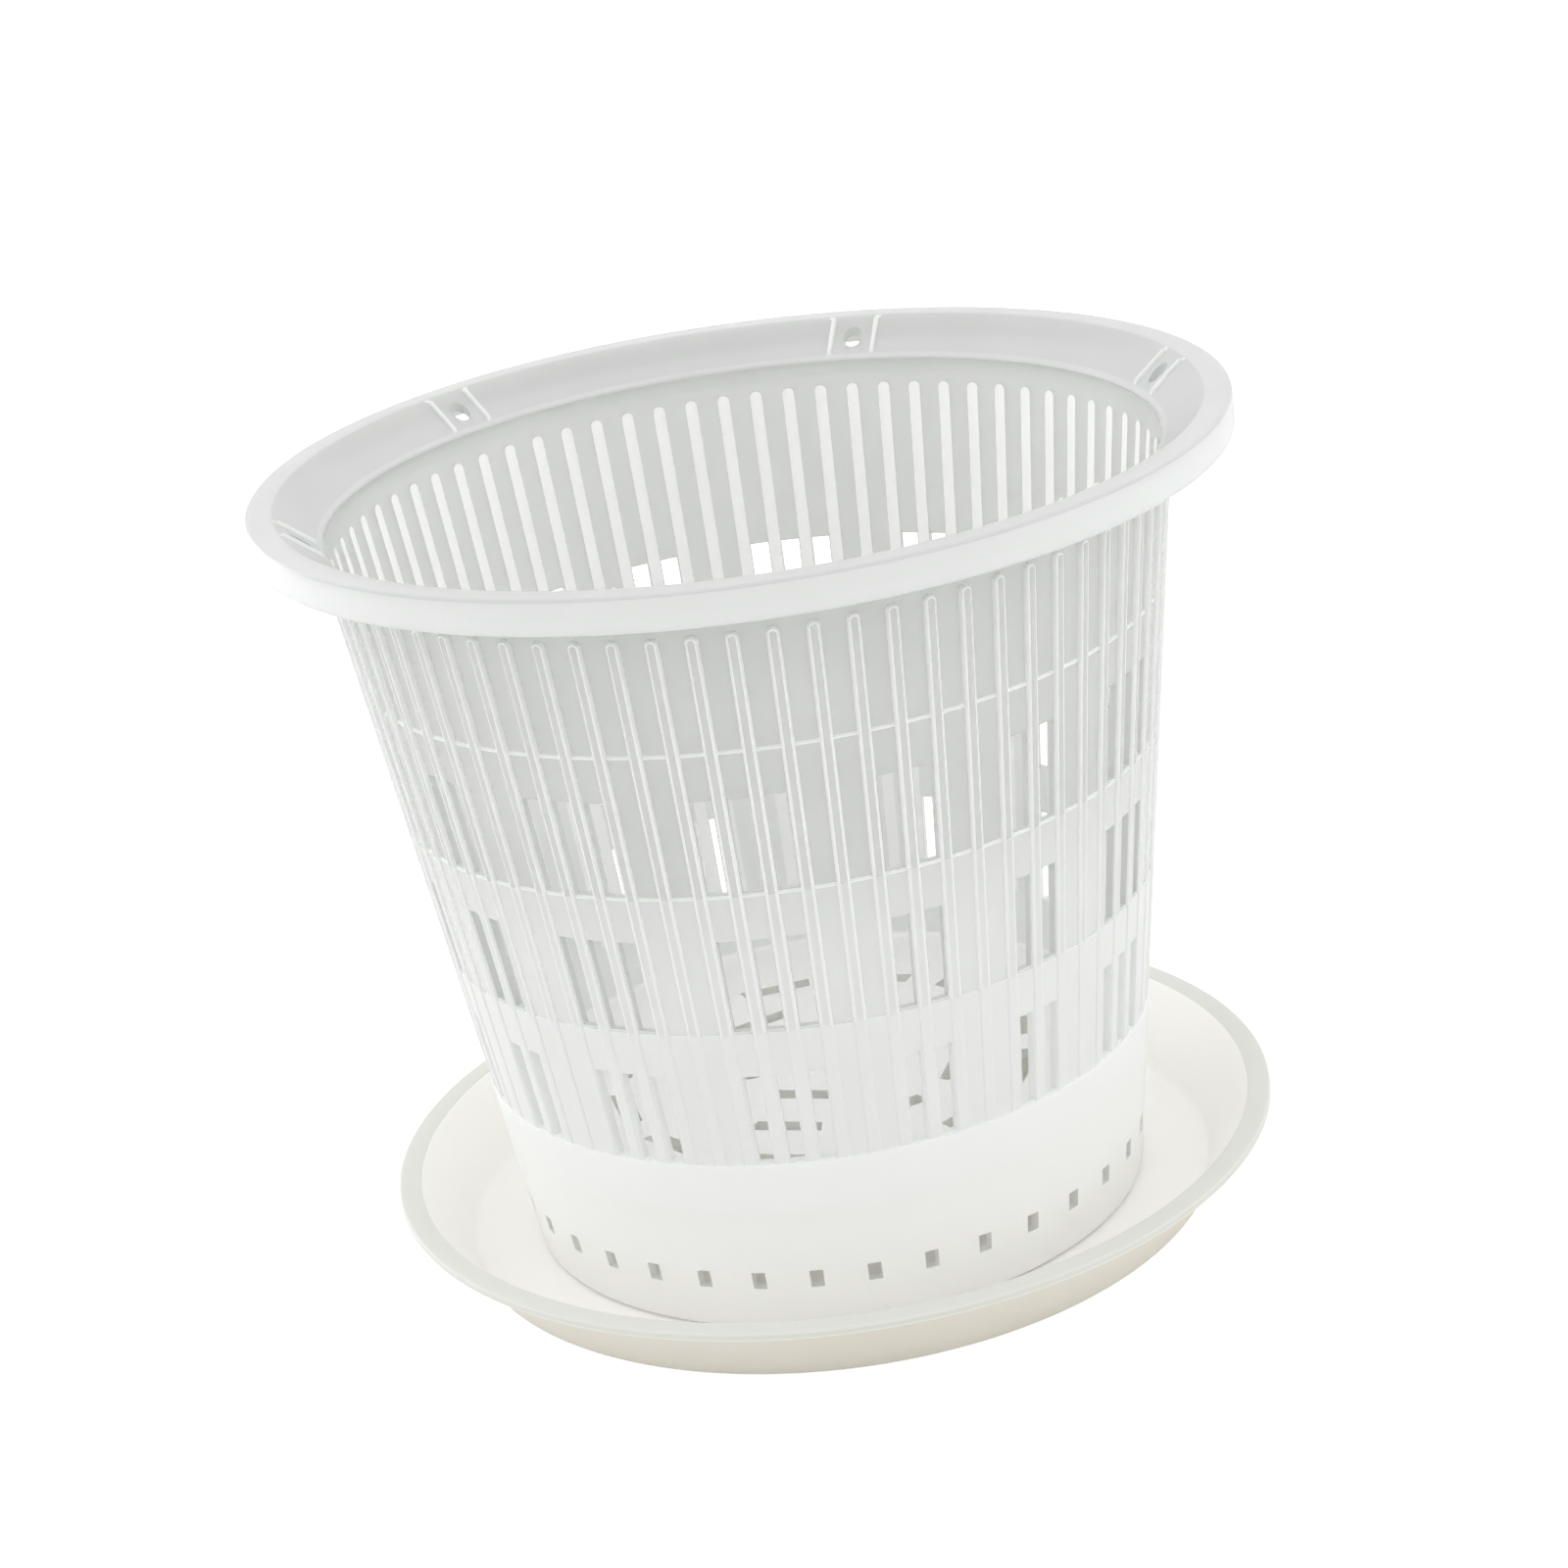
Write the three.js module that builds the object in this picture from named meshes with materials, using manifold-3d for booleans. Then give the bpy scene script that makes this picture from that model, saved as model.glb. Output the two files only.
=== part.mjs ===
// Orchid pot standing in its saucer: two plastic mouldings.
// Millimetres, +Z up. The origin is on the saucer's axis, at the surface it stands on.
import * as THREE from 'three';
import { mergeGeometries, mergeVertices } from 'three/addons/utils/BufferGeometryUtils.js';
import Module from 'manifold-3d';

const wasm = await Module();
wasm.setup();

// Pot wall: a drafted cone whose outermost surface is the line of the rib tips.
const BASE_RADIUS = 49.3;
const WALL_DRAFT = THREE.MathUtils.degToRad(7.74);
const WALL_THICKNESS = 1.5;

// Tiers, from the foot to the rim. A step ring divides each tier from the next.
const BASE_TIER_HEIGHT = 29.2;
const SLOT_TIER_HEIGHT = 22.8;
const SLOT_TIER_COUNT = 3;
const TOP_TIER_HEIGHT = 27.9;

// Ribs stand on the panels. Each tier's panel is one ledge nearer the rib tips than the tier above.
const RIB_WIDTH = 2;
const RIB_HEIGHT = 0.8;
const LEDGE = 0.2;
const BASE_PROUD = 0.15;
const RIB_TOP_DROP = 9.7;

// Slots: each quarter of the wall has groups of open panels with closed panels between them.
const QUARTERS = 4;
const OPEN_GROUPS = [3, 2, 2, 3];
const CLOSED_BETWEEN = 2;
const LINTEL_HEIGHT = 7.3;
const SILL_HEIGHT = 0.4;
const SLOT_SIDE_MARGIN = 0.15;

// Rim: a flat lip, a flange dished down to the wall, and a skirt that hangs from the lip.
const RIM_OVERHANG = 8.65;
const LIP_WIDTH = 4;
const LIP_CHAMFER = 0.6;
const FLANGE_DROP = 5.6;
const FLANGE_THICKNESS = 1.4;
const SKIRT_DROP = 5.4;
const SKIRT_THICKNESS = 1.3;

// Hanging eyes: holes through the flange, each between two short fins.
const EYE_COUNT = 6;
const EYE_RADIUS = 1.6;
const FIN_SPACING = 7.4;
const FIN_WIDTH = 0.8;
const FIN_HEIGHT = 0.6;
const FIN_INSET = 1.2;

// Raised floor and foot.
const FLOOR_HEIGHT = 20;
const FLOOR_THICKNESS = 1.6;
const DRAIN_WIDTH = 3;
const DRAIN_RING_PITCH = 11;
const DRAIN_BRIDGE = 6;
const DRAIN_EDGE = 8;
const PORT_WIDTH = 2;
const PORT_HEIGHT = 3;
const PORT_SILL = 7;

// Saucer.
const SEAT_CLEARANCE = 0.3;
const SAUCER_MARGIN = 10.6;
const SAUCER_HEIGHT = 12.9;
const SAUCER_THICKNESS = 1.6;
const SAUCER_FLARE = 7.4;
const SAUCER_LIP_WIDTH = 3.6;
const SAUCER_LIP_THICKNESS = 1.3;
const SAUCER_CORNER = 1.2;
const SAUCER_SEGMENTS = 72;

// The pot stands in the saucer turned by this much, counterclockwise seen from above.
const POT_TURN = THREE.MathUtils.degToRad(71.1);

// Lengths by which a cutter or a rib's root runs past the surface it meets.
const OVERRUN = 1;
const RIB_ROOT = 0.35;

// Straight pieces in each quarter turn of a rib's rounded top.
const RIB_TOP_STEPS = 2;

// Levels and radii that follow from the driving dimensions.
const potHeight = BASE_TIER_HEIGHT + SLOT_TIER_COUNT * SLOT_TIER_HEIGHT + TOP_TIER_HEIGHT;
const tipRadius = (z) => BASE_RADIUS + z * Math.tan(WALL_DRAFT);
const innerRadius = (z) => tipRadius(z) - WALL_THICKNESS;
const ringLevel = (tier) => BASE_TIER_HEIGHT + tier * SLOT_TIER_HEIGHT;
const rimRadius = tipRadius(potHeight) + RIM_OVERHANG;
const openPanels = OPEN_GROUPS.reduce((sum, group) => sum + group, 0);
const panelsPerQuarter = openPanels + OPEN_GROUPS.length * CLOSED_BETWEEN;
const ribCount = QUARTERS * panelsPerQuarter;
const pitchAngle = (2 * Math.PI) / ribCount;

// How far the panel of a slotted or top tier lies behind the rib tips.
const panelDepth = (tier) => RIB_HEIGHT - (SLOT_TIER_COUNT - tier) * LEDGE;

const vec = (x, y) => new THREE.Vector2(x, y);

function toSolid(geometry) {
  const bare = geometry.index ? geometry.toNonIndexed() : geometry.clone();
  bare.deleteAttribute('normal');
  bare.deleteAttribute('uv');
  const merged = mergeVertices(bare);
  return new wasm.Manifold(new wasm.Mesh({
    numProp: 3,
    vertProperties: new Float32Array(merged.attributes.position.array),
    triVerts: new Uint32Array(merged.index.array),
  }));
}

function toGeometry(solid) {
  const mesh = solid.getMesh();
  const geometry = new THREE.BufferGeometry();
  geometry.setAttribute('position', new THREE.BufferAttribute(mesh.vertProperties, 3));
  geometry.setIndex(new THREE.BufferAttribute(mesh.triVerts, 1));
  return geometry;
}

// A closed profile of (radius, height) points, turned about the Z axis.
// It runs from the axis outwards along its lower side and back along its upper side.
function turned(profile, segments) {
  const lathe = new THREE.LatheGeometry(profile, segments);
  lathe.rotateX(Math.PI / 2);
  return lathe;
}

// Copies of a shape made at angle 0, turned about the Z axis to each angle.
function ringOf(geometry, angles) {
  return mergeGeometries(angles.map((angle) => geometry.clone().rotateZ(angle)));
}

function range(count, valueAt) {
  return Array.from({ length: count }, (_, i) => valueAt(i));
}

// The pot's wall, flange, floor and foot in section.
function potSection() {
  const flangeRoot = potHeight - FLANGE_DROP;
  const flangeUnder = flangeRoot - FLANGE_THICKNESS;
  const floorUnder = FLOOR_HEIGHT - FLOOR_THICKNESS;
  const skirtEnd = potHeight - SKIRT_DROP;
  const lipUnder = potHeight - FLANGE_THICKNESS;
  const points = [
    vec(0, floorUnder),
    vec(innerRadius(floorUnder), floorUnder),
    vec(innerRadius(0), 0),
    vec(tipRadius(0) + BASE_PROUD, 0),
    vec(tipRadius(ringLevel(0)) + BASE_PROUD, ringLevel(0)),
  ];
  for (let tier = 0; tier <= SLOT_TIER_COUNT; tier += 1) {
    const bottom = ringLevel(tier);
    const top = tier < SLOT_TIER_COUNT ? ringLevel(tier + 1) : flangeUnder;
    points.push(vec(tipRadius(bottom) - panelDepth(tier), bottom));
    points.push(vec(tipRadius(top) - panelDepth(tier), top));
  }
  points.push(
    vec(rimRadius - LIP_WIDTH, lipUnder),
    vec(rimRadius - SKIRT_THICKNESS, lipUnder),
    vec(rimRadius - SKIRT_THICKNESS, skirtEnd),
    vec(rimRadius, skirtEnd),
    vec(rimRadius, potHeight - LIP_CHAMFER),
    vec(rimRadius - LIP_CHAMFER, potHeight),
    vec(rimRadius - LIP_WIDTH, potHeight),
    vec(innerRadius(flangeRoot), flangeRoot),
    vec(innerRadius(FLOOR_HEIGHT), FLOOR_HEIGHT),
    vec(0, FLOOR_HEIGHT),
  );
  return points;
}

// One rib with a rounded top. Its outer face lies on the line of the rib tips.
function rib() {
  const bottom = ringLevel(0) - RIB_ROOT;
  const top = potHeight - RIB_TOP_DROP;
  const length = (top - bottom) / Math.cos(WALL_DRAFT);
  const half = RIB_WIDTH / 2;
  const outline = new THREE.Shape();
  outline.moveTo(-half, 0);
  outline.lineTo(half, 0);
  outline.lineTo(half, length - half);
  outline.absarc(0, length - half, half, 0, Math.PI, false);
  outline.lineTo(-half, 0);
  const depth = RIB_HEIGHT + RIB_ROOT;
  const body = new THREE.ExtrudeGeometry(outline, { depth, bevelEnabled: false, curveSegments: RIB_TOP_STEPS });
  body.translate(0, 0, -depth);
  const across = new THREE.Vector3(0, 1, 0);
  const along = new THREE.Vector3(Math.sin(WALL_DRAFT), 0, Math.cos(WALL_DRAFT));
  const outward = new THREE.Vector3(Math.cos(WALL_DRAFT), 0, -Math.sin(WALL_DRAFT));
  const placing = new THREE.Matrix4().makeBasis(across, along, outward);
  placing.setPosition(tipRadius(bottom), 0, bottom);
  return body.applyMatrix4(placing);
}

// Middle angles of the open panels. A quarter starts and ends with half of the closed panels.
function slotAngles() {
  const angles = [];
  for (let quarter = 0; quarter < QUARTERS; quarter += 1) {
    let panel = quarter * panelsPerQuarter + CLOSED_BETWEEN / 2;
    for (const group of OPEN_GROUPS) {
      angles.push(...range(group, (i) => (panel + i + 0.5) * pitchAngle));
      panel += group + CLOSED_BETWEEN;
    }
  }
  return angles;
}

// Cutter for one slot of a tier: it fills the panel from rib to rib and from sill to lintel.
function slotCutter(tier) {
  const bottom = ringLevel(tier) + SILL_HEIGHT;
  const top = ringLevel(tier + 1) - LINTEL_HEIGHT;
  const inside = innerRadius(bottom) * Math.cos(pitchAngle / 2) - OVERRUN;
  const outside = tipRadius(top) + OVERRUN;
  const panelWidth = 2 * tipRadius(bottom) * Math.tan(pitchAngle / 2) - RIB_WIDTH;
  const cutter = new THREE.BoxGeometry(outside - inside, panelWidth - 2 * SLOT_SIDE_MARGIN, top - bottom);
  return cutter.translate((outside + inside) / 2, 0, (top + bottom) / 2);
}

// Two fins that stand on the dished flange, on either side of an eye.
function finPair() {
  const low = vec(innerRadius(potHeight - FLANGE_DROP), potHeight - FLANGE_DROP);
  const high = vec(rimRadius - LIP_WIDTH, potHeight);
  const slope = high.clone().sub(low);
  const depth = FIN_HEIGHT + FLANGE_THICKNESS / 2;
  const fin = new THREE.BoxGeometry(slope.length() - 2 * FIN_INSET, FIN_WIDTH, depth);
  fin.translate(slope.length() / 2, 0, FIN_HEIGHT - depth / 2);
  fin.rotateY(-slope.angle());
  fin.translate(low.x, 0, low.y);
  return mergeGeometries([-1, 1].map((side) => fin.clone().translate(0, (side * FIN_SPACING) / 2, 0)));
}

function eyeCutter() {
  const middle = (innerRadius(potHeight - FLANGE_DROP) + rimRadius - LIP_WIDTH) / 2;
  const hole = new THREE.CylinderGeometry(EYE_RADIUS, EYE_RADIUS, 4 * FLANGE_DROP, 12);
  hole.rotateX(Math.PI / 2);
  return hole.translate(middle, 0, potHeight - FLANGE_DROP / 2);
}

// Rings of straight drain slots in the floor. Each ring has as many as leave a bridge between them.
function drainCutters() {
  const cutters = [];
  const lastRing = innerRadius(FLOOR_HEIGHT) - DRAIN_EDGE;
  for (let ring = DRAIN_RING_PITCH; ring < lastRing; ring += DRAIN_RING_PITCH) {
    const count = 4 * Math.max(1, Math.round(ring / DRAIN_RING_PITCH));
    const length = (2 * Math.PI * ring) / count - DRAIN_BRIDGE;
    const slot = new THREE.BoxGeometry(DRAIN_WIDTH, length, FLOOR_THICKNESS + 2 * OVERRUN);
    slot.translate(ring, 0, FLOOR_HEIGHT - FLOOR_THICKNESS / 2);
    cutters.push(ringOf(slot, range(count, (i) => (i * 2 * Math.PI) / count)));
  }
  return mergeGeometries(cutters);
}

// Small drain ports through the foot, one under every second panel.
function portCutters() {
  const middle = (tipRadius(PORT_SILL) + innerRadius(PORT_SILL)) / 2;
  const port = new THREE.BoxGeometry(WALL_THICKNESS + 2 * OVERRUN, PORT_WIDTH, PORT_HEIGHT);
  port.translate(middle, 0, PORT_SILL + PORT_HEIGHT / 2);
  return ringOf(port, range(ribCount / 2, (i) => (2 * i + 0.5) * pitchAngle));
}

function potGeometry() {
  const eyeAngles = range(EYE_COUNT, (i) => (i * 2 * Math.PI) / EYE_COUNT);
  let pot = toSolid(turned(potSection(), ribCount));
  pot = pot.add(toSolid(ringOf(rib(), range(ribCount, (i) => i * pitchAngle))));
  pot = pot.add(toSolid(ringOf(finPair(), eyeAngles)));
  pot = pot.subtract(toSolid(ringOf(eyeCutter(), eyeAngles)));
  const tiers = range(SLOT_TIER_COUNT, (tier) => ringOf(slotCutter(tier), slotAngles()));
  pot = pot.subtract(toSolid(mergeGeometries(tiers)));
  pot = pot.subtract(toSolid(drainCutters()));
  pot = pot.subtract(toSolid(portCutters()));
  return toGeometry(pot);
}

// The saucer's floor is the pot's base and a margin around it. Its wall flares out to the lip.
function saucerGeometry() {
  const floorRadius = BASE_RADIUS + SAUCER_MARGIN;
  const mouthRadius = floorRadius + SAUCER_FLARE;
  const lipRadius = mouthRadius + SAUCER_LIP_WIDTH;
  const lipUnder = SAUCER_HEIGHT - SAUCER_LIP_THICKNESS;
  const section = [
    vec(0, 0),
    vec(floorRadius, 0),
    vec(floorRadius + SAUCER_CORNER, SAUCER_CORNER),
    vec(mouthRadius + SAUCER_CORNER, lipUnder),
    vec(lipRadius, lipUnder),
    vec(lipRadius, SAUCER_HEIGHT),
    vec(mouthRadius, SAUCER_HEIGHT),
    vec(floorRadius, SAUCER_THICKNESS),
    vec(0, SAUCER_THICKNESS),
  ];
  return toGeometry(toSolid(turned(section, SAUCER_SEGMENTS)));
}

const clearPlastic = new THREE.MeshStandardMaterial({
  color: 0xe4e5e3,
  roughness: 0.3,
  metalness: 0,
  transparent: true,
  opacity: 0.55,
});
const creamPlastic = new THREE.MeshStandardMaterial({ color: 0xf1efe8, roughness: 0.4, metalness: 0 });

const saucer = new THREE.Mesh(saucerGeometry(), creamPlastic);
saucer.name = 'saucer';

const pot = new THREE.Mesh(potGeometry(), clearPlastic);
pot.name = 'orchid_pot';
pot.position.z = SAUCER_THICKNESS + SEAT_CLEARANCE;
pot.rotation.z = POT_TURN;

const assembly = new THREE.Group();
assembly.add(saucer, pot);

export default assembly;
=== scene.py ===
"""Orchid pot in its saucer: the dressed model and its small studio.

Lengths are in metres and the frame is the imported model's: +Z up, origin under the saucer's middle.
"""

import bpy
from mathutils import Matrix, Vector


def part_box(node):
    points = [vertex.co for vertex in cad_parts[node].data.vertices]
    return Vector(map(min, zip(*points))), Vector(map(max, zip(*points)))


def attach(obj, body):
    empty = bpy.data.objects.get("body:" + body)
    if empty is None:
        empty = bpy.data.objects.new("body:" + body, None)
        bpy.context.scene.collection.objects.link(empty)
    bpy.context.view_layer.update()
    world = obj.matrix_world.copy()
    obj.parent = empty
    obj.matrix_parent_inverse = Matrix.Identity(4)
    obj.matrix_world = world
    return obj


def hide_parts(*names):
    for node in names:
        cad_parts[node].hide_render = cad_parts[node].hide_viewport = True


bl_info = {
    "name": "Orchid pot and saucer",
    "version": (1, 0, 0),
    "blender": (4, 5, 0),
    "location": "3D View > Sidebar > Orchid pot",
    "description": "Builds a ribbed, slotted orchid pot, its saucer and a plain studio round them",
    "category": "Add Mesh",
}

import math
from types import SimpleNamespace

import bpy
import numpy as np
from bpy.props import FloatProperty, FloatVectorProperty, IntProperty, PointerProperty
from mathutils import Matrix, Vector

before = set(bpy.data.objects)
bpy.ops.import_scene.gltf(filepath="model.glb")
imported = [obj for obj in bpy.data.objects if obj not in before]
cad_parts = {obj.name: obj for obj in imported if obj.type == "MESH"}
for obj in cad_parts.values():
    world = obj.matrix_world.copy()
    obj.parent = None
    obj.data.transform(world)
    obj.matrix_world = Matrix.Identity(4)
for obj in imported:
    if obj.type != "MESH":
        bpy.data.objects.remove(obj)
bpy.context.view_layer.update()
POT_LOW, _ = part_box("orchid_pot")
_, SAUCER_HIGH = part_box("saucer")

MM = 0.001


def linear(hex_code):
    """An sRGB hex colour as linear red, green and blue."""
    channels = [int(hex_code[i : i + 2], 16) / 255 for i in (0, 2, 4)]
    return tuple(
        c / 12.92 if c <= 0.04045 else ((c + 0.055) / 1.055) ** 2.4 for c in channels
    )


# ---------------------------------------------------------------- settings


def length(label, about, millimetres):
    """A length that a user can change. It is given here in millimetres and kept in metres."""
    return FloatProperty(
        name=label,
        description=about,
        default=millimetres * MM,
        min=0.0,
        precision=5,
        unit="LENGTH",
        subtype="DISTANCE",
    )


def angle(label, about, degrees):
    """An angle that a user can change. It is given here in degrees and kept in radians."""
    return FloatProperty(
        name=label,
        description=about,
        default=math.radians(degrees),
        subtype="ANGLE",
        unit="ROTATION",
    )


def colour(label, about, hex_code):
    """A colour that a user can change. It is given here as sRGB hex and kept linear."""
    return FloatVectorProperty(
        name=label,
        description=about,
        default=linear(hex_code),
        min=0.0,
        max=1.0,
        size=3,
        subtype="COLOR",
    )


def strength(label, about, share):
    """Strength of a part of the light tent. At 1 a white sheet under it would render white."""
    return FloatProperty(name=label, description=about, default=share)


def power(label, about, watts):
    """Power of a lamp."""
    return FloatProperty(name=label, description=about, default=watts, unit="POWER")


class OrchidPotSizes(bpy.types.PropertyGroup):
    """Sizes of the pot. Heights count from the foot it stands on."""

    foot_radius: length("Foot radius", "Line of the rib tips, carried down to the foot", 49.3)
    draft: angle("Wall draft", "Slope of the wall away from upright", 7.74)
    wall: length("Wall", "From the inner face to the line of the rib tips", 1.5)
    base_tier: length("Base tier", "Height of the plain tier at the foot", 29.2)
    slot_tier: length("Slotted tier", "Height of each slotted tier", 22.8)
    slot_tiers: IntProperty(
        name="Slotted tiers", description="Number of slotted tiers", default=3, min=1
    )
    top_tier: length("Top tier", "Height from the last ring to the rim", 27.9)
    rib_width: length("Rib width", "Width of a rib", 2.0)
    rib_height: length("Rib height", "Rib tip above the top tier's panels", 0.8)
    rib_round: length("Rib edge", "Rounding along both edges of a rib", 0.45)
    rib_top_drop: length("Rib end", "From the rim down to the ribs' rounded ends", 9.7)
    ledge: length("Ledge", "Step of the panels at each ring", 0.2)
    base_proud: length("Base step", "Base tier outside the line of the rib tips", 0.15)
    slot_margin: length("Slot margin", "From a rib's side to the slot's edge", 0.15)
    sill: length("Sill", "Panel left below a slot", 0.4)
    lintel: length("Lintel", "Panel left above a slot", 7.3)
    rim_overhang: length("Rim overhang", "Rim outside the line of the rib tips", 8.65)
    lip_width: length("Lip width", "Flat part of the rim", 4.0)
    flange_drop: length("Flange drop", "Depth of the dished flange", 5.6)
    flange_wall: length("Flange wall", "Thickness of the flange, measured upright", 1.4)
    skirt_drop: length("Skirt drop", "Height of the skirt below the rim", 5.4)
    skirt_wall: length("Skirt wall", "Thickness of the skirt", 1.3)
    eye_radius: length("Eye radius", "Radius of a hanging eye", 1.6)
    fin_spacing: length("Fin spacing", "Between the two fins beside an eye", 7.4)
    fin_width: length("Fin width", "Thickness of a fin", 0.8)
    fin_height: length("Fin height", "Fin above the flange", 0.6)
    floor_level: length("Floor level", "Top of the raised floor", 20.0)
    floor_wall: length("Floor wall", "Thickness of the floor", 1.6)
    drain_pitch: length("Drain pitch", "Between the rings of drain slots", 11.0)
    drain_width: length("Drain width", "Width of a drain slot", 3.0)
    drain_bridge: length("Drain bridge", "Floor left between two drain slots", 6.0)
    port_sill: length("Port sill", "Bottom of the drain ports in the foot", 7.0)
    port_height: length("Port height", "Height of a drain port", 3.0)
    turn: angle(
        "Turn in the saucer",
        "Turn of the pot about its own axis, counterclockwise from above",
        71.1,
    )


class OrchidPotSaucerSizes(bpy.types.PropertyGroup):
    """Sizes of the saucer."""

    floor_radius: length("Floor radius", "Radius of the flat floor", 59.9)
    flare: length("Flare", "How far the wall leans out", 7.4)
    lip_width: length("Lip width", "Width of the flat lip", 3.6)
    lip_wall: length("Lip wall", "Thickness of the lip", 1.3)
    floor_wall: length("Floor wall", "Thickness of the floor", 1.6)
    flare_wall: length("Flare wall", "Thickness of the leaning wall, measured level", 1.2)
    edge: length("Edge", "Rounding of the moulded edges", 0.4)
    heel: length("Heel", "Rounding where floor and wall meet", 2.0)


class OrchidPotFinishes(bpy.types.PropertyGroup):
    """Colours of the two plastics. Several are tints of one plastic, painted lighter or darker as
    painted light and shade.
    """

    clear_tint: colour("Pot plastic", "Natural polypropylene, slightly milky", "F9F9F8")
    clear_cloud: colour("Pot cloud", "Where the melt set a little denser", "F7F7F6")
    # Painted highlight: the edge tint is lighter than the panels and ribs beside it, and paints the
    # light lines along rib edges, ring steps and fins.
    edge_tint: colour("Pot edges", "The same plastic along its moulded edges", "F7F8F7")
    edge_cloud: colour("Pot edges' cloud", "The edges, a shade deeper", "F3F4F3")
    cut_tint: colour("Pot slots", "The same plastic on the slots' sides, seen edge on", "E2E3E2")
    cut_cloud: colour("Pot slots' cloud", "The slots' sides, a shade deeper", "DDDEDD")
    skirt_tint: colour("Pot skirt", "The same plastic in the skirt", "F4F5F4")
    skirt_cloud: colour("Pot skirt cloud", "The skirt, a shade deeper", "F0F1F0")
    # Painted shade: the upper tiers take this darker panel tint and the lower slotted tiers the
    # lighter one below, so the pot is painted darker towards its top.
    thin_tint: colour("Pot panels", "The same plastic in the thin panels", "E0E1E0")
    thin_cloud: colour("Pot panels' cloud", "The panels, a shade deeper", "DBDCDB")
    low_tint: colour("Pot low tiers", "The same plastic in the lower slotted tiers", "ECEDEC")
    low_cloud: colour("Pot low tiers' cloud", "The lower tiers, a shade deeper", "E8E9E8")
    # Painted shade: the flange, above and below, and the rim's top are painted darker than the rest
    # of the pot.
    slope_tint: colour("Pot flange", "The same plastic in the sloping flange", "D6D7D6")
    slope_cloud: colour("Pot flange cloud", "The flange, a shade deeper", "D1D2D1")
    rim_tint: colour("Pot rim", "The same plastic, seen from the top of the rim", "DEDFDE")
    rim_cloud: colour("Pot rim cloud", "The rim, a shade deeper", "D9DAD9")
    inside_tint: colour("Saucer inside", "Cream-white polypropylene", "F2F1EE")
    inside_cloud: colour("Saucer inside cloud", "The same, a shade deeper", "EEEDE9")
    # Painted shade: the saucer's lip and outside are painted darker than its inside, and the outside
    # also warmer.
    lip_tint: colour("Saucer lip", "The same plastic on its flat lip", "D0D1CB")
    lip_cloud: colour("Saucer lip cloud", "The lip, a shade deeper", "CCCDC6")
    outside_tint: colour("Saucer outside", "The same plastic on its outside", "E6E3DA")
    outside_cloud: colour("Saucer outside cloud", "The outside, a shade deeper", "E1DDD2")


class OrchidPotStudio(bpy.types.PropertyGroup):
    """The studio: lens, light tent and lamps."""

    lens: FloatProperty(
        name="Lens",
        description="Focal length on a 36 mm wide sensor",
        default=83.93,
        unit="CAMERA",
    )
    roll: angle("Roll", "Camera turned clockwise about its own axis", 8.09)
    tent: strength("Tent", "Strength of the light tent where nothing is added", 1.03)
    tent_back: strength("Back", "Added behind the object, and taken away in front", 0.05)
    tent_sides: strength("Sides", "Added to the left and to the right", 0.7)
    tent_top: strength("Top", "Added overhead", 0.12)
    key: power("Key lamp", "Power of the lamp behind on the right", 0.25)
    fill: power("Fill lamp", "Power of the large lamp on the left", 0.6)
    low_left: power("Low left lamp", "Power of the low lamp on the left", 0.55)
    low_right: power("Low right lamp", "Power of the low lamp on the right", 0.45)


def in_millimetres(group):
    """The group's lengths in millimetres, and its other values as they are."""
    values = {}
    for prop in group.bl_rna.properties:
        if prop.identifier in ("rna_type", "name"):
            continue
        value = getattr(group, prop.identifier)
        values[prop.identifier] = value / MM if prop.unit == "LENGTH" else value
    return SimpleNamespace(**values)


# ---------------------------------------------------------------- mesh tools

# Two faces that meet at more than this many degrees keep a sharp edge between them.
SHARP_ANGLE = 32
# A rounding takes up at most this share of a side, so that two of them never meet.
ROUNDED_SHARE = 0.49


def rounded(points, radii, steps=4):
    """A polyline with its inner corners rounded, each by its own radius."""
    path = [points[0]]
    for i in range(1, len(points) - 1):
        here = np.array(points[i], float)
        back = np.array(points[i - 1], float) - here
        ahead = np.array(points[i + 1], float) - here
        radius = radii[i]
        if radius <= 0:
            path.append(tuple(here))
            continue
        back_len, ahead_len = np.linalg.norm(back), np.linalg.norm(ahead)
        back, ahead = back / back_len, ahead / ahead_len
        half = math.acos(float(np.clip(back @ ahead, -1, 1))) / 2
        room = ROUNDED_SHARE * min(back_len, ahead_len)
        reach = min(radius / math.tan(half), room)
        start, end = here + back * reach, here + ahead * reach
        for k in range(steps + 1):
            t = k / steps
            spot = (1 - t) ** 2 * start + 2 * t * (1 - t) * here + t * t * end
            path.append((float(spot[0]), float(spot[1])))
    path.append(points[-1])
    return path


def rounded_corner(before, corner, after, radius, steps=4):
    """The points of one rounded corner alone."""
    return rounded([before, corner, after], [0, radius, 0], steps)[1:-1]


def new_piece(name, points_mm, faces, materials, face_materials):
    """A mesh object from points in millimetres. Faces are lists of three or four point numbers."""
    mesh = bpy.data.meshes.new(name)
    mesh.from_pydata((np.asarray(points_mm) * MM).tolist(), [], faces)
    mesh.validate()
    mesh.polygons.foreach_set("use_smooth", [True] * len(mesh.polygons))
    for material in materials:
        mesh.materials.append(material)
    mesh.polygons.foreach_set("material_index", face_materials)
    mesh.set_sharp_from_angle(angle=math.radians(SHARP_ANGLE))
    mesh.update()
    piece = bpy.data.objects.new(name, mesh)
    bpy.context.scene.collection.objects.link(piece)
    return piece


def smooth_step(x):
    """0 up to 0, 1 from 1 on, and a smooth rise between."""
    x = np.clip(x, 0.0, 1.0)
    return x * x * (3 - 2 * x)


# ---------------------------------------------------------------- the pot


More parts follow.
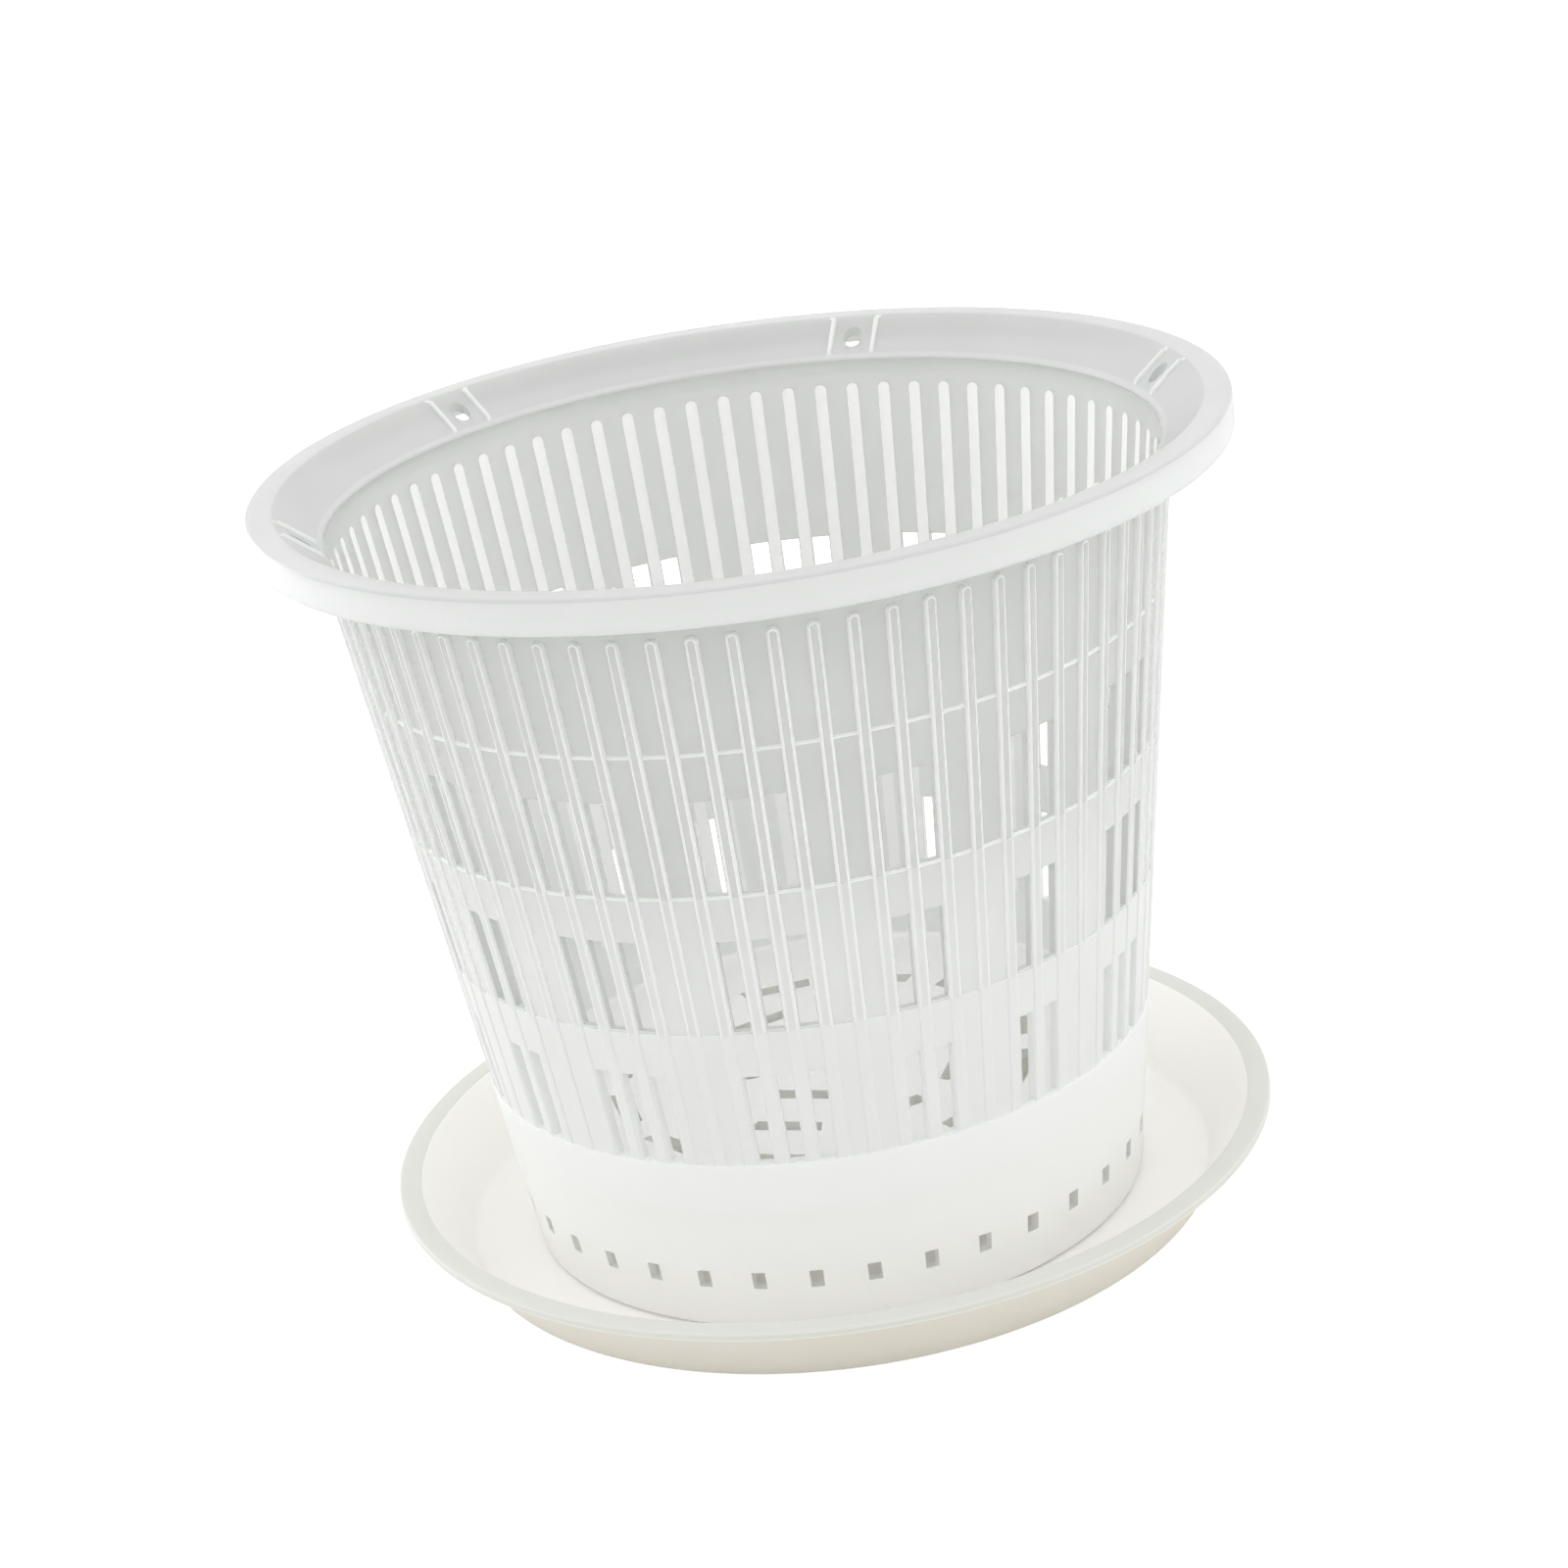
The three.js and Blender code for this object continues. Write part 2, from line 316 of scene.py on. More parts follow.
class PotShape:
    """The pot as one closed skin: rows run along its section and columns run round its axis.

    The skin starts at the middle of the floor's top, goes out, up the inside, over the rim, down
    the outside, up under the floor and back to the axis. A hole joins two stretches of the skin
    that lie back to back. All lengths are millimetres, and heights count from the foot.
    """

    # In every quarter the slots come in groups of so many panels, with closed panels between them.
    QUARTERS = 4
    OPEN_GROUPS = (3, 2, 2, 3)
    CLOSED_BETWEEN = 2
    # Every second panel has a port in the foot.
    PORT_EVERY = 2
    EYES = 6
    # The first ring has this many drain slots, and each further ring as many more.
    DRAINS = 4
    # From the wall to where the rings of drain slots end, and to the floor's last plain circle.
    DRAIN_EDGE = 8.0
    FLOOR_EDGE = 5.0
    # The gate mark at the floor's middle and the plain floor round it: radius and height above the
    # floor. Underneath there are two plain circles of these radii.
    GATE_ROWS = ((0.9, 0.35), (1.3, 0.3), (1.5, 0.0), (5.0, 0.0))
    UNDER_FLOOR_ROWS = (5.0, 1.5)
    # Inside this radius the columns keep their angles.
    INNERMOST = 47.0
    # Places across half a rib where its rounded edge is sampled, as shares of the rib's half width.
    RIB_SAMPLES = (0.0, 0.5, 0.72, 0.88, 0.97, 1.0)
    # Rows where the ribs end in a round top, as shares of a rib's half width above its middle.
    CAP_ROWS = (2.4, 1.9, 1.5, 1.2, 1.0, 0.97, 0.88, 0.72, 0.5, 0.25, 0.0)
    # Places across a fin, as shares of its half width, and how much of its height each has.
    FIN_SAMPLES = (
        (-1.05, 0.0),
        (-0.9, 0.6),
        (-0.5, 1.0),
        (0.0, 1.0),
        (0.5, 1.0),
        (0.9, 0.6),
        (1.05, 0.0),
    )
    # Rows across the flange near an eye, in millimetres from its middle, and those past them where
    # the fins end, with how much of a fin's height is left.
    EYE_ROWS = (-2.4, -1.7, -1.15, -0.8, -0.4, 0.0, 0.4, 0.8, 1.15, 1.7, 2.4)
    FIN_END_ROWS = ((2.6, 0.7), (2.75, 0.0))
    # An eye is cut from a square of rows and columns, whose half width counts as 1 here. They bend
    # to its circle out to the reach, and inside the square they only have to stay in the hole.
    EYE_REACH = 2.4 / 1.15
    JUST_INSIDE = 0.999
    # From an eye's middle to where the flange's corners begin, and the same at its inner underside.
    EYE_CLEAR, EYE_CLEAR_UNDER = 3.0, 2.5
    # Rows down the step at a ring: height above the ring, and how much of the step is left.
    STEP_ROWS = ((0.2, 1.0), (0.04, 0.9), (0.0, 0.25), (-0.12, 0.05), (-0.3, 0.0))
    # The rim is this much smaller than the CAD's, whose box is taken on a faceted rim.
    RIM_SPARE = 0.02
    # Radii of the mould: floor to wall, wall to flange, round the lip and skirt, flange to outside
    # wall, foot, and wall to floor underneath.
    FLOOR_CORNER = 0.9
    FLANGE_BEND = 1.4
    LIP_CORNERS = (0, 0.7, 0.75, 0.55, 0.5, 0.8, 0.6, 0)
    UNDER_BEND = 0.8
    FOOT_CORNER = 0.4
    UNDER_CORNER = 0.6
    # The skirt's look begins this far outside the lip's inner edge and this far below its top.
    SKIRT_OUT, SKIRT_DOWN = 0.5, 0.3
    # Length of a side that only says which way it leaves a corner.
    STUB = 5.0
    # Depth in from a rib's outline that is painted as its edge, in a lighter tint as a painted
    # highlight, and the ribs' looks by tier, painted darker in the higher tiers as painted shade.
    RIB_EDGE = 0.4
    RIB_LOOKS = ("rib low", "rib middle", "rib high", "rib high")
    # Guards a division and a comparison against rounding.
    TINY = 1e-6

    def __init__(self, sizes):
        s = self.s = sizes
        self.height = s.base_tier + s.slot_tiers * s.slot_tier + s.top_tier
        self.per_quarter = sum(self.OPEN_GROUPS) + len(self.OPEN_GROUPS) * self.CLOSED_BETWEEN
        self.ribs = self.QUARTERS * self.per_quarter
        self.pitch = 2 * math.pi / self.ribs
        self.rib_half = s.rib_width / 2
        self.edge = self.rib_half + s.slot_margin
        self.cap = self.height - s.rib_top_drop - self.rib_half
        self.slot_levels = [
            (self.ring(tier) + s.sill, self.ring(tier + 1) - s.lintel)
            for tier in range(s.slot_tiers)
        ]
        self.port_levels = (s.port_sill, s.port_sill + s.port_height)
        self.under_floor = s.floor_level - s.floor_wall
        drain_room = self.inner(s.floor_level) - self.DRAIN_EDGE
        self.drain_rings = range(1, math.ceil(drain_room / s.drain_pitch))
        self.flange_root = self.height - s.flange_drop
        self.flange_inner = self.inner(self.flange_root)
        self.rim = self.tip(self.height) + s.rim_overhang
        self.lip_inner = self.rim - s.lip_width
        self.eye_middle = (self.flange_inner + self.lip_inner) / 2
        under_root = self.flange_root - s.flange_wall
        self.under_start = (self.tip(under_root) - self.panel_depth(s.slot_tiers), under_root)
        self.make_columns()
        self.make_rows()

    def tip(self, z):
        """Radius of the line of the rib tips."""
        return self.s.foot_radius + z * math.tan(self.s.draft)

    def inner(self, z):
        """Radius of the inside wall."""
        return self.tip(z) - self.s.wall

    def ring(self, tier):
        """Height of the ring at the bottom of a tier, where 0 is the lowest slotted one."""
        return self.s.base_tier + tier * self.s.slot_tier

    def panel_depth(self, tier):
        """How far a tier's panels lie behind the rib tips."""
        return self.s.rib_height - (self.s.slot_tiers - tier) * self.s.ledge

    # Columns

    def make_columns(self):
        """Places of the columns: across each rib, and across the panel after it and its fins."""
        s = self.s
        self.eye_ribs = [k * self.ribs // self.EYES for k in range(self.EYES)]
        offsets = [self.rib_half * x for x in self.RIB_SAMPLES]
        across = [-self.edge] + [-x for x in reversed(offsets)] + offsets[1:] + [self.edge]
        fin_room = self.pitch * self.flange_inner - 2 * self.edge
        nan = math.nan
        columns = []
        self.first_of_rib = {}
        for k in range(self.ribs):
            self.first_of_rib[k] = len(columns)
            columns.extend((k, off, nan, nan, 0.0) for off in across)
            extra = [(0.5, nan, 0.0)]
            for x, rise in self.FIN_SAMPLES:
                place = s.fin_spacing / 2 + x * s.fin_width / 2
                share = (place - self.edge) / fin_room
                if k in self.eye_ribs:
                    extra.append((share, place, rise))
                if (k + 1) % self.ribs in self.eye_ribs:
                    extra.append((1 - share, -place, rise))
            columns.extend((k, nan, share, place, rise) for share, place, rise in sorted(extra))
        self.across_count = len(across)
        self.columns = len(columns)
        # Rib, place off its middle, share of the panel, place off an eye's middle, share of a fin's
        # height.
        self.rib, self.offset, self.share, self.fin, self.fin_rise = np.array(columns).T

    def angles(self, radius):
        """Angle of every column where the skin has this radius."""
        r = max(radius, self.INNERMOST)
        room = self.pitch * r - 2 * self.edge
        off = np.where(np.isnan(self.offset), self.edge + self.share * room, self.offset)
        return self.rib * self.pitch + off / r

    def flange_angles(self, radius):
        """The same on the flange, where the columns beside a fin run parallel to it."""
        angles = self.angles(radius)
        has_fin = ~np.isnan(self.fin)
        side = np.where(self.fin > 0, self.rib, self.rib + 1)
        parallel = side * self.pitch + np.arcsin(np.nan_to_num(self.fin) / radius)
        return np.where(has_fin, parallel, angles)

    # Rows. Each one gives the radius, height and angle of all its points, and on the wall also how
    # deep they lie inside the outline of the ribs.

    def plain_row(self, radius, z):
        """A level circle."""
        n = self.columns
        return np.full(n, radius), np.full(n, z), self.angles(radius), None

    def rib_profile(self, depth):
        """Share of a rib's full height at a depth in from its outline."""
        x = np.clip(depth / self.s.rib_round, 0, 1)
        return np.sqrt(1 - (1 - x) ** 2)

    def bend_to_ribs(self, z, radius):
        """Angles, heights and depths for a row that bends round the ribs' tops."""
        half = self.rib_half
        angles = self.angles(radius)
        nearest = np.round(angles / self.pitch)
        u = (angles - nearest * self.pitch) * radius
        t = z - self.cap
        if t <= 0:
            return angles, np.full(self.columns, float(z)), half - np.abs(u)
        # Above the last straight stretch, squares round a rib's middle are turned into circles, and
        # less so the farther out they are.
        m = np.maximum(np.abs(u), t) / half
        weight = 1 - smooth_step((m - 1) / (self.CAP_ROWS[0] - 1))
        round_off = m * half / np.hypot(u, t)
        scale = 1 - weight + weight * round_off
        return nearest * self.pitch + u * scale / radius, self.cap + t * scale, half * (1 - m)

    def inner_row(self, z):
        """A row of the inside wall. It is smooth, and its faces still follow the ribs' outline."""
        angles, zs, depth = self.bend_to_ribs(z, self.inner(z))
        return self.inner(zs), zs, angles, depth

    def outer_row(self, z, behind):
        """A row of the outside wall, whose panels lie this far behind the rib tips."""
        tip = self.tip(z)
        angles, zs, depth = self.bend_to_ribs(z, tip)
        lean = (zs - z) * math.tan(self.s.draft)
        panel = tip - behind + lean
        radius = panel + np.maximum(tip + lean - panel, 0) * self.rib_profile(depth)
        return radius, zs, angles, depth

    def flange_row(self, from_eye, z_of, fin_share=0.0):
        """A row across the flange. Round an eye it bends to the eye's circle."""
        radius = self.eye_middle + from_eye
        angles = self.flange_angles(radius)
        eye_pitch = 2 * math.pi / self.EYES
        middle = np.round(angles / eye_pitch) * eye_pitch
        x = radius * np.cos(angles - middle)
        y = radius * np.sin(angles - middle)
        w = np.full(self.columns, float(from_eye))
        m = np.maximum(np.abs(y), np.abs(w)) / self.edge
        weight = 1 - smooth_step((m - 1) / (self.EYE_REACH - 1))
        distance = np.maximum(np.hypot(y, w), self.TINY)
        target = self.s.eye_radius + (m - 1) * self.edge
        scale = np.where(m < self.EYE_REACH, 1 - weight + weight * target / distance, 1.0)
        scale = np.where(m < self.JUST_INSIDE, self.s.eye_radius / self.edge, scale)
        x = x + w * (scale - 1)
        y = y * scale
        r = np.hypot(x, y)
        z = z_of(r) + self.fin_rise * self.s.fin_height * fin_share
        return r, z, middle + np.arctan2(y, x), None

    def drain_row(self, ring, side, z):
        """A row of the floor along the inner (-1) or outer (1) straight sides of a ring's slots."""
        line = ring * self.s.drain_pitch + side * self.s.drain_width / 2
        angles = self.angles(0)
        step = 2 * math.pi / (self.DRAINS * ring)
        away = np.abs(angles - np.round(angles / step) * step)
        radius = line / np.cos(np.minimum(away, self.drain_half_angle(ring)))
        return radius, np.full(self.columns, z), angles, None

    def drain_half_angle(self, ring):
        """Half of the angle that one drain slot takes up."""
        radius = ring * self.s.drain_pitch
        slot = 2 * math.pi * radius / (self.DRAINS * ring) - self.s.drain_bridge
        return math.atan2(slot / 2, radius)

    def slope_top(self, r):
        """Height of the flange's upper side."""
        share = (r - self.flange_inner) / (self.lip_inner - self.flange_inner)
        return self.flange_root + share * self.s.flange_drop

    def slope_under(self, r):
        """Height of the flange's lower side."""
        start_r, start_z = self.under_start
        end_r, end_z = self.lip_inner, self.height - self.s.flange_wall
        return start_z + (r - start_r) / (end_r - start_r) * (end_z - start_z)

    def add_row(self, row, region, key=None):
        """Adds a row, the region of the faces after it, and the key of any hole's edge on it."""
        self.rows.append(row)
        self.regions.append(region)
        self.keys.append(key)

    def add_path(self, path, region):
        """Adds a level circle for each point of a path."""
        for r, z in path:
            self.add_row(self.plain_row(r, z), region)

    def make_rows(self):
        """All the rows in order, from the middle of the floor's top round to its underside."""
        self.rows, self.regions, self.keys = [], [], []
        self.add_floor()
        self.add_inner_wall()
        self.add_flange()
        self.add_lip()
        self.add_under_flange()
        self.add_outer_wall()
        self.add_foot()
        self.add_under_floor()

    def add_floor(self):
        """Top of the floor, from the gate mark at its middle out to the corner with the wall."""
        z = self.s.floor_level
        self.add_path([(r, z + rise) for r, rise in self.GATE_ROWS], "floor")
        for ring in self.drain_rings:
            for side in (-1, 1):
                self.add_row(self.drain_row(ring, side, z), "floor", ("floor", ring, side))
        edge = (self.inner(z) - self.FLOOR_EDGE, z)
        up_wall = (self.inner(z + self.STUB), z + self.STUB)
        bend = rounded_corner(edge, (self.inner(z), z), up_wall, self.FLOOR_CORNER)
        self.add_path([edge, *bend[:-1]], "floor")
        self.add_path(bend[-1:], "inside")

    def add_inner_wall(self):
        """The inside wall and its bend into the flange."""
        for levels in self.slot_levels:
            for z in levels:
                self.add_row(self.inner_row(z), "inside", ("wall", round(z, 3)))
        for part in reversed(self.CAP_ROWS):
            self.add_row(self.inner_row(self.cap + part * self.rib_half), "inside")
        z = self.flange_root
        down_wall = (self.inner(z - self.STUB), z - self.STUB)
        on_slope = self.eye_middle - self.EYE_CLEAR
        up_slope = (on_slope, self.slope_top(on_slope))
        bend = rounded_corner(down_wall, (self.flange_inner, z), up_slope, self.FLANGE_BEND)
        self.add_path(bend, "rim")

    def add_flange(self):
        """Top of the flange, with its eyes and fins."""
        for w, share in reversed(self.FIN_END_ROWS):
            self.add_row(self.flange_row(-w, self.slope_top, share), "fins")
        for w in self.EYE_ROWS:
            self.add_row(self.flange_row(w, self.slope_top, 1.0), "fins", ("eye", w))
        for w, share in self.FIN_END_ROWS:
            self.add_row(self.flange_row(w, self.slope_top, share), "fins")

    def add_lip(self):
        """The lip and the skirt, outside and inside."""
        s = self.s
        rim = self.rim - self.RIM_SPARE
        skirt_in = self.rim - s.skirt_wall
        skirt_z = self.height - s.skirt_drop
        under_lip = self.height - s.flange_wall
        on_slope = self.eye_middle + self.EYE_CLEAR
        corners = [
            (on_slope, self.slope_top(on_slope)),
            (self.lip_inner, self.height),
            (rim, self.height),
            (rim, skirt_z),
            (skirt_in, skirt_z),
            (skirt_in, under_lip),
            (self.lip_inner, under_lip),
            (on_slope, self.slope_under(on_slope)),
        ]
        # Faces near the top and the lip's inner edge take the darker rim look, painted shade; the
        # skirt's take a lighter look.
        for r, z in rounded(corners, self.LIP_CORNERS, 5)[1:-1]:
            below = z < self.height - self.SKIRT_DOWN
            outside = r > self.lip_inner + self.SKIRT_OUT
            self.add_row(self.plain_row(r, z), "skirt" if below and outside else "rim")

    def add_under_flange(self):
        """Underside of the flange and its bend into the outside wall."""
        for w in reversed(self.EYE_ROWS):
            self.add_row(self.flange_row(w, self.slope_under), "slope", ("eye", w))
        on_slope = self.eye_middle - self.EYE_CLEAR_UNDER
        up_slope = (on_slope, self.slope_under(on_slope))
        start_r, start_z = self.under_start
        down_wall = (start_r - self.STUB * math.tan(self.s.draft), start_z - self.STUB)
        bend = rounded_corner(up_slope, self.under_start, down_wall, self.UNDER_BEND)
        self.add_path(bend, "slope")

    def add_outer_wall(self):
        """The outside wall. Its rows crowd together at the ribs' round ends and at each ring."""
        s = self.s
        top_depth = self.panel_depth(s.slot_tiers)
        for part in self.CAP_ROWS:
            self.add_row(self.outer_row(self.cap + part * self.rib_half, top_depth), "panel")
        for tier in reversed(range(s.slot_tiers + 1)):
            upper = self.panel_depth(tier)
            lower = self.panel_depth(tier - 1) if tier else -s.base_proud
            for rise, share in self.STEP_ROWS:
                region = "panel" if tier else "base"
                # The steps at the upper rings take the lighter edge look, a painted highlight along
                # the ring lines.
                if tier > 1 and share > 0:
                    region = "edge"
                behind = lower + share * (upper - lower)
                self.add_row(self.outer_row(self.ring(tier) + rise, behind), region)
            if tier:
                for level in reversed(self.slot_levels[tier - 1]):
                    self.add_row(self.outer_row(level, lower), "panel", ("wall", round(level, 3)))

    def add_foot(self):
        """The foot, with its ports outside and inside."""
        proud = self.s.base_proud
        for level in reversed(self.port_levels):
            self.add_row(self.plain_row(self.tip(level) + proud, level), "base", ("foot", level))
        corners = [
            (self.tip(self.STUB) + proud, self.STUB),
            (self.tip(0) + proud, 0),
            (self.inner(0), 0),
            (self.inner(self.STUB), self.STUB),
        ]
        radii = (0, self.FOOT_CORNER, self.FOOT_CORNER, 0)
        self.add_path(rounded(corners, radii, 3)[1:-1], "base")
        for level in self.port_levels:
            self.add_row(self.plain_row(self.inner(level), level), "cavity", ("foot", level))

    def add_under_floor(self):
        """Underside of the floor, from its corner with the wall in to the middle."""
        z = self.under_floor
        down_wall = (self.inner(z - self.STUB), z - self.STUB)
        on_floor = (self.inner(z) - self.STUB, z)
        bend = rounded_corner(down_wall, (self.inner(z), z), on_floor, self.UNDER_CORNER, 3)
        self.add_path(bend, "cavity")
        for ring in reversed(self.drain_rings):
            for side in (1, -1):
                self.add_row(self.drain_row(ring, side, z), "cavity", ("floor", ring, side))
        self.add_path([(r, z) for r in self.UNDER_FLOOR_ROWS], "cavity")

    # Holes, as (row keys, first column, number of columns).

    def open_panels(self):
        """Numbers of the panels that have a slot."""
        panels = []
        for quarter in range(self.QUARTERS):
            panel = quarter * self.per_quarter + self.CLOSED_BETWEEN // 2
            for group in self.OPEN_GROUPS:
                panels.extend(range(panel, panel + group))
                panel += group + self.CLOSED_BETWEEN
        return panels

    def panel_columns(self, panel):
        """First column of a panel and how many it has."""
        start = self.first_of_rib[panel] + self.across_count - 1
        end = self.first_of_rib[(panel + 1) % self.ribs]
        return start, (end - start) % self.columns

    def column_at(self, target):
        """The floor's column nearest to an angle."""
        return int(np.argmin(np.abs(np.angle(np.exp(1j * (self.angles(0) - target))))))

    def holes(self):
        """Every slot, port, eye and drain slot."""
        found = []
        for levels in self.slot_levels:
            keys = [("wall", round(z, 3)) for z in levels]
            for panel in self.open_panels():
                found.append((keys, *self.panel_columns(panel)))
        keys = [("foot", level) for level in reversed(self.port_levels)]
        for panel in range(0, self.ribs, self.PORT_EVERY):
            found.append((keys, *self.panel_columns(panel)))
        keys = [("eye", w) for w in self.EYE_ROWS if abs(w) < self.edge + self.TINY]
        for k in self.eye_ribs:
            found.append((keys, self.first_of_rib[k], self.across_count - 1))
        for ring in self.drain_rings:
            keys = [("floor", ring, -1), ("floor", ring, 1)]
            half = self.drain_half_angle(ring)
            count = self.DRAINS * ring
            for i in range(count):
                middle = i * 2 * math.pi / count
                start, end = self.column_at(middle - half), self.column_at(middle + half)
                found.append((keys, start, (end - start) % self.columns))
        return found

    # Looks

    def row_looks(self, i):
        """The look of each face between a row and the next."""
        region = self.regions[i]
        # The fins take the lighter edge look, a painted highlight, and the flange round them the
        # darker slope look, painted shade.
        if region == "fins":
            on_fin = (self.fin_rise > 0) | (np.roll(self.fin_rise, -1) > 0)
            return np.where(on_fin, "edge", "slope")
        _, upper_z, _, above = self.rows[i]
        _, lower_z, _, below = self.rows[i + 1]
        z = np.mean([upper_z.mean(), lower_z.mean()])
        tier = sum(z > self.ring(k) for k in range(1, self.s.slot_tiers + 1))
        tier = min(tier, len(self.RIB_LOOKS) - 1)
        depth = np.full(self.columns, -1.0)
        if above is not None and below is not None and region != "base":
            depth = np.mean([above, np.roll(above, -1), below, np.roll(below, -1)], 0)
        # Inside, the faces over each rib are painted light, a painted highlight of the light the
        # ribs bring through, and the faces between them take the panel looks, painted darker in the
        # upper tiers.
        if region == "inside":
            return np.where(depth > 0, "stripe", "panel 3" if tier > 1 else "panel 0")
        rib = self.RIB_LOOKS[tier]
        # Rib edges above the lowest slotted tier take the lighter edge look, a painted highlight.
        edge = "edge" if tier > 0 else rib
        plain = f"panel {tier}" if region == "panel" else region
        return np.where(depth > 0, np.where(depth < self.RIB_EDGE, edge, rib), plain)

    def wall_look(self, z):
        """The look of a hole's side at a height."""
        if z > self.ring(1):
            return "cut"
        return "base" if z > self.s.floor_level else "cavity"

    def cut_holes(self):
        """Which faces of the skin the holes take away, and the faces of the holes' sides."""
        n = self.columns
        is_open = np.zeros((len(self.rows) - 1, n), bool)
        first_row, second_row = {}, {}
        for i, key in enumerate(self.keys):
            if key is not None:
                (second_row if key in first_row else first_row)[key] = i
        walls = []
        for keys, start, count in self.holes():
            a = [first_row[key] for key in keys]
            b = [second_row[key] for key in keys]
            columns = [(start + c) % n for c in range(count + 1)]
            for i in range(len(keys) - 1):
                is_open[a[i], columns[:-1]] = True
                is_open[b[i + 1], columns[:-1]] = True
                for j, (p, q) in ((columns[0], (i, i + 1)), (columns[-1], (i + 1, i))):
                    walls.append([a[p] * n + j, a[q] * n + j, b[q] * n + j, b[p] * n + j])
            for j, k in zip(columns, columns[1:]):
                walls.append([a[0] * n + k, a[0] * n + j, b[0] * n + j, b[0] * n + k])
                walls.append([a[-1] * n + j, a[-1] * n + k, b[-1] * n + k, b[-1] * n + j])
        return is_open, walls

    def skin(self):
        """Points, faces and the look of each face."""
        n = self.columns
        points = []
        for radius, z, angles, _ in self.rows:
            turned = angles + self.s.turn
            points.append(np.stack([radius * np.cos(turned), radius * np.sin(turned), z], 1))
        # The last two points close the floor on the axis, above and below.
        gate_top = self.s.floor_level + self.GATE_ROWS[0][1]
        points.append(np.array([[0, 0, gate_top], [0, 0, self.under_floor]], float))
        grid = np.concatenate(points)
        top, under = len(grid) - 2, len(grid) - 1
        is_open, walls = self.cut_holes()
        faces, looks = [], []
        for i in range(len(self.rows) - 1):
            row_looks = self.row_looks(i)
            for j in range(n):
                if not is_open[i, j]:
                    k = (j + 1) % n
                    faces.append([i * n + j, (i + 1) * n + j, (i + 1) * n + k, i * n + k])
                    looks.append(row_looks[j])
        faces.extend(walls)
        looks.extend(self.wall_look(grid[wall, 2].mean()) for wall in walls)
        last = (len(self.rows) - 1) * n
        for j in range(n):
            k = (j + 1) % n
            faces.append([top, j, k])
            faces.append([under, last + k, last + j])
            looks.extend(["floor", "cavity"])
        return grid, faces, looks


# ---------------------------------------------------------------- the saucer

SAUCER_SEGMENTS = 240
# Radius in millimetres of the innermost circle. A fan of faces closes the skin inside it.
SAUCER_FAN = 2
# The bevel under the wall begins this share of the wall's thickness outside the floor's radius.
SAUCER_BEVEL = 0.35


def turned_skin(section, segments):
    """A section of (radius, height) points turned about Z and closed at both ends by a fan."""
    around = [2 * math.pi * k / segments for k in range(segments)]
    points, faces = [], []
    for r, z in section:
        points.extend([r * math.cos(a), r * math.sin(a), z] for a in around)
    for i in range(len(section) - 1):
        for j in range(segments):
            k = (j + 1) % segments
            here, there = i * segments, (i + 1) * segments
            faces.append([here + j, here + k, there + k, there + j])
    start, end = len(points), len(points) + 1
    points.extend([[0, 0, section[0][1]], [0, 0, section[-1][1]]])
    last = (len(section) - 1) * segments
    for j in range(segments):
        k = (j + 1) % segments
        faces.append([start, k, j])
        faces.append([end, last + j, last + k])
    return points, faces


def saucer_section(s, height):
    """Section of the saucer, from its middle out along its underside and back over its floor.

    The underside turns up into the wall over a short bevel.
    """
    mouth = s.floor_radius + s.flare
    lip = mouth + s.lip_width
    lip_under = height - s.lip_wall
    points = [
        (SAUCER_FAN, 0),
        (s.floor_radius + SAUCER_BEVEL * s.flare_wall, 0),
        (s.floor_radius + s.flare_wall, s.flare_wall),
        (mouth + s.flare_wall, lip_under),
        (lip, lip_under),
        (lip, height),
        (mouth, height),
        (s.floor_radius, s.floor_wall),
        (SAUCER_FAN, s.floor_wall),
    ]
    radii = [0, s.heel / 2, s.heel / 2, s.edge, s.edge, s.edge, s.edge, s.heel, 0]
    return rounded(points, radii, 5)


# ---------------------------------------------------------------- materials

POLYPROPYLENE_IOR = 1.49
# Sockets of the mix node that hold colours. Others of its sockets have the same names.
MIX_FIRST, MIX_SECOND, MIX_RESULT = 6, 7, 2
# The noise values at which the roughness reaches its limits, and how far those lie from its own
# value, as a share of it.
NOISE_LOW, NOISE_HIGH = 0.3, 0.7
GLOSS_SPREAD = 0.06
WHITE = (1, 1, 1, 1)


def add_node(tree, kind, inputs=(), **settings):
    """Adds a node. Settings are its properties and sockets by name.

    Each input pairs what goes into a socket, which is a value or another node's socket, with the
    name or number of the socket it goes into.
    """
    node = tree.nodes.new(kind)
    for name, value in settings.items():
        if hasattr(node, name):
            setattr(node, name, value)
        else:
            node.inputs[name.replace("_", " ")].default_value = value
    for source, socket in inputs:
        if isinstance(source, bpy.types.NodeSocket):
            tree.links.new(source, node.inputs[socket])
        else:
            node.inputs[socket].default_value = source
    return node


def per_millimetre(size_mm):
    """Noise scale that gives features of this size."""
    return 1 / (size_mm * MM)


